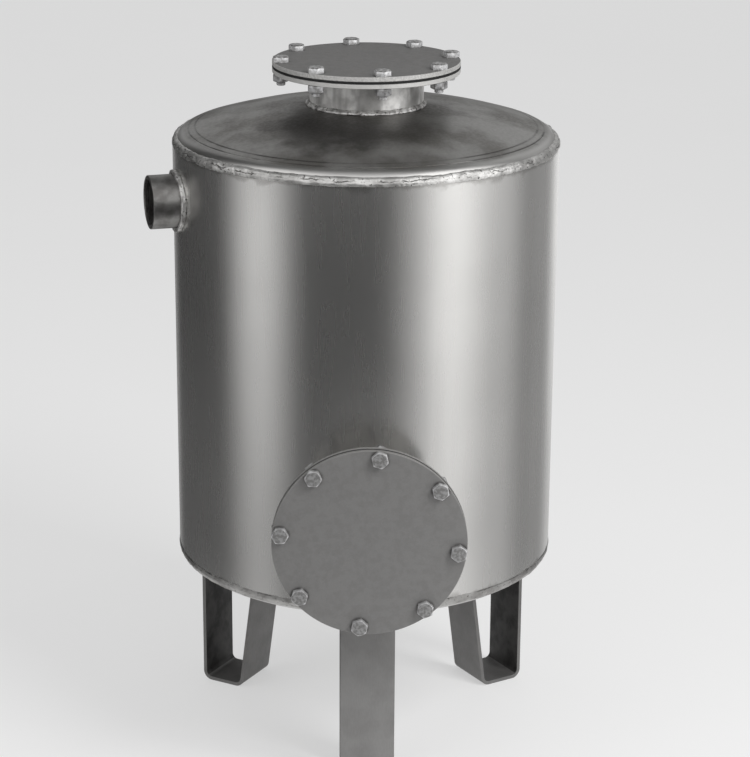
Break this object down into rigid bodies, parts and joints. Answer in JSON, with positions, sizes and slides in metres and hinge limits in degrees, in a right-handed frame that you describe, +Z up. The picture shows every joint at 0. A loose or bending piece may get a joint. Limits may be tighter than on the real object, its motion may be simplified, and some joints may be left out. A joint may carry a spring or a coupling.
{
  "type": "sand filter",
  "caption": "Upright welded steel sand filter vessel on bent bar legs, with bolted round hand holes on top and low in front, a side inlet socket and a bottom outlet.",
  "frame": {"origin": "on the floor, under the middle of the overall box; the tank's own axis stands 18.3 mm to +X and 33.8 mm to +Y of it", "axes": "+Z up, along the tank; -Y is the front, where the lower hand hole is; the inlet is near -X"},
  "size_m": [0.5366, 0.5674, 0.9155],
  "materials": {
    "shell_steel": "cold rolled stainless sheet, fine vertical brushing, soft broad reflections",
    "head_steel": "pressed stainless head, duller, blotchy grey with faint rings",
    "weld_bead": "rough silvery weld metal",
    "flange_steel": "turned stainless, fine rings",
    "cover_plate": "flat dull grey plate with a bright cut edge",
    "gasket_rubber": "black sheet rubber",
    "zinc_fastener": "bright zinc plating",
    "flat_bar": "rolled flat bar, dark grey, lighter edges",
    "socket_steel": "cast and turned stainless socket",
    "inner_steel": "plain stainless",
    "cap_plastic": "black moulded plugs"
  },
  "bodies": {
    "vessel": {"shell": "shell_steel", "top_head": "head_steel", "bottom_head": "head_steel", "top_seam_weld": "weld_bead", "bottom_seam_weld": "weld_bead", "shell_seam_weld": "weld_bead", "top_neck": "flange_steel", "top_neck_weld": "weld_bead", "front_neck": "flange_steel", "front_neck_weld": "weld_bead", "top_ring": "flange_steel", "top_gasket": "gasket_rubber", "top_ring_weld": "weld_bead", "front_ring": "flange_steel", "front_gasket": "gasket_rubber", "front_ring_weld": "weld_bead", "inlet_socket": "socket_steel", "inlet_weld": "weld_bead", "outlet_socket": "socket_steel", "outlet_weld": "weld_bead", "inlet_baffle": "inner_steel", "collector_riser": "inner_steel", "collector_hub": "inner_steel", "lateral_1": "inner_steel", "lateral_2": "inner_steel", "lateral_3": "inner_steel", "lateral_4": "inner_steel", "lateral_5": "inner_steel", "lateral_6": "inner_steel", "lateral_7": "inner_steel", "lateral_8": "inner_steel", "lateral_caps": "cap_plastic", "leg_front": "flat_bar", "leg_right": "flat_bar", "leg_left": "flat_bar", "leg_front_weld": "weld_bead", "leg_right_weld": "weld_bead", "leg_left_weld": "weld_bead"},
    "top_cover_set": {"top_cover": "cover_plate", "top_bolts": "zinc_fastener"},
    "front_cover_set": {"front_cover": "cover_plate", "front_bolts": "zinc_fastener"},
    "top_nut_set": {"top_nuts": "zinc_fastener"},
    "front_nut_set": {"front_nuts": "zinc_fastener"}
  },
  "joints": [
    {"name": "top_cover_lift", "type": "slide", "parent": "vessel", "child": "top_cover_set", "axis": [0, 0, 1], "range_m": [0, 0.15]},
    {"name": "front_cover_pull", "type": "slide", "parent": "vessel", "child": "front_cover_set", "axis": [0, -1, 0], "range_m": [0, 0.15]},
    {"name": "top_nuts_off", "type": "slide", "parent": "vessel", "child": "top_nut_set", "axis": [0, 0, -1], "range_m": [0, 0.016]},
    {"name": "front_nuts_off", "type": "slide", "parent": "vessel", "child": "front_nut_set", "axis": [0, 1, 0], "range_m": [0, 0.016]}
  ]
}
